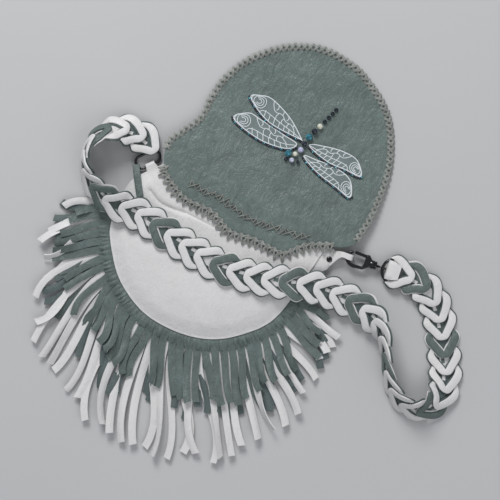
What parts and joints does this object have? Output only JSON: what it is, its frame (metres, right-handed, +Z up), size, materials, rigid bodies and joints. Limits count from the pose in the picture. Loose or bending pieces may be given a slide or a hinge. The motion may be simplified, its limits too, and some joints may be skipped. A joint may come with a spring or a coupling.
{
  "type": "fringed leather shoulder bag",
  "caption": "Small flat leather shoulder bag with an open laced flap, layered fringe, linked leather strap and swivel clasp, lying on its front.",
  "frame": {"origin": "centre of the flat face the bag rests on, under the pouch", "axes": "+X along the mouth towards the clasp side, +Y from the pouch towards the tip of the opened flap, +Z up off the table"},
  "size_m": [0.4058, 0.3923, 0.0338],
  "materials": {
    "white_leather": "soft white garment leather",
    "grey_leather": "pebbled grey-green leather",
    "dark_grey_leather": "darker side of the grey leather",
    "sinew_lacing": "waxed grey-beige lacing",
    "silver_wing": "silver-white thread work",
    "black_nickel": "glossy black nickel",
    "bead_teal": "glossy",
    "bead_dark": "glossy",
    "bead_pale": "glossy"
  },
  "bodies": {
    "bag": {"back_panel": "white_leather", "clasp_swivel_eye": "black_nickel", "corner_lace": "grey_leather", "d_ring_right": "black_nickel", "flap_lobe": "grey_leather", "fringe_back_grey": "grey_leather", "fringe_front_grey": "dark_grey_leather", "fringe_middle_white": "white_leather", "front_panel": "white_leather", "lobe_edge_lacing": "sinew_lacing", "mouth_lacing": "sinew_lacing", "strap_grey_link_01": "grey_leather", "strap_grey_link_02": "grey_leather", "strap_grey_link_03": "grey_leather", "strap_grey_link_04": "grey_leather", "strap_grey_link_05": "grey_leather", "strap_grey_link_06": "grey_leather", "strap_grey_link_07": "grey_leather", "strap_grey_link_08": "grey_leather", "strap_grey_link_09": "grey_leather", "strap_grey_link_10": "grey_leather", "strap_ring_left": "black_nickel", "strap_white_links_01": "white_leather", "strap_white_links_02": "white_leather", "strap_white_links_03": "white_leather", "strap_white_links_04": "white_leather", "strap_white_links_05": "white_leather", "strap_white_links_06": "white_leather", "strap_white_links_07": "white_leather", "strap_white_links_08": "white_leather", "strap_white_links_09": "white_leather", "strap_white_links_10": "white_leather", "strap_white_links_11": "white_leather", "tab_left": "white_leather", "tab_right": "white_leather", "tab_rivet_right": "black_nickel"},
    "flap": {"flap_panel": "grey_leather", "flap_edge_lacing": "sinew_lacing", "bead_body_pale": "bead_pale", "bead_body_pearl": "bead_dark", "bead_body_teal": "bead_teal", "bead_cheek_dark": "bead_dark", "bead_cheek_small": "bead_dark", "bead_eye_bright": "bead_pale", "bead_eye_pale": "bead_pale", "bead_head_teal": "bead_teal", "bead_tail_1": "bead_dark", "bead_tail_2": "bead_dark", "bead_tail_3": "bead_dark", "bead_tail_4": "bead_dark", "bead_thorax_crystal": "bead_pale", "bead_thorax_pearl": "bead_dark", "wing_lower_left": "silver_wing", "wing_lower_right": "silver_wing", "wing_upper_left": "silver_wing", "wing_upper_right": "silver_wing"},
    "clasp": {"clasp_hook": "black_nickel", "clasp_gate_pin": "black_nickel"},
    "gate": {"clasp_gate": "black_nickel"}
  },
  "joints": [
    {"name": "flap_fold", "type": "hinge", "parent": "bag", "child": "flap", "pos_m": [0, 0.055, 0.0042], "axis": [-1, 0, 0], "range_deg": [-90, 172]},
    {"name": "clasp_swivel", "type": "hinge", "parent": "bag", "child": "clasp", "pos_m": [0.12451, 0.05825, 0.0058], "axis": [-0.9903, -0.1392, 0], "range_deg": [-10, 10]},
    {"name": "clasp_gate", "type": "hinge", "parent": "clasp", "child": "gate", "pos_m": [0.11452, 0.06179, 0.0058], "axis": [0, 0, 1], "range_deg": [0, 22], "stiffness_Nm_per_rad": 0.02}
  ]
}
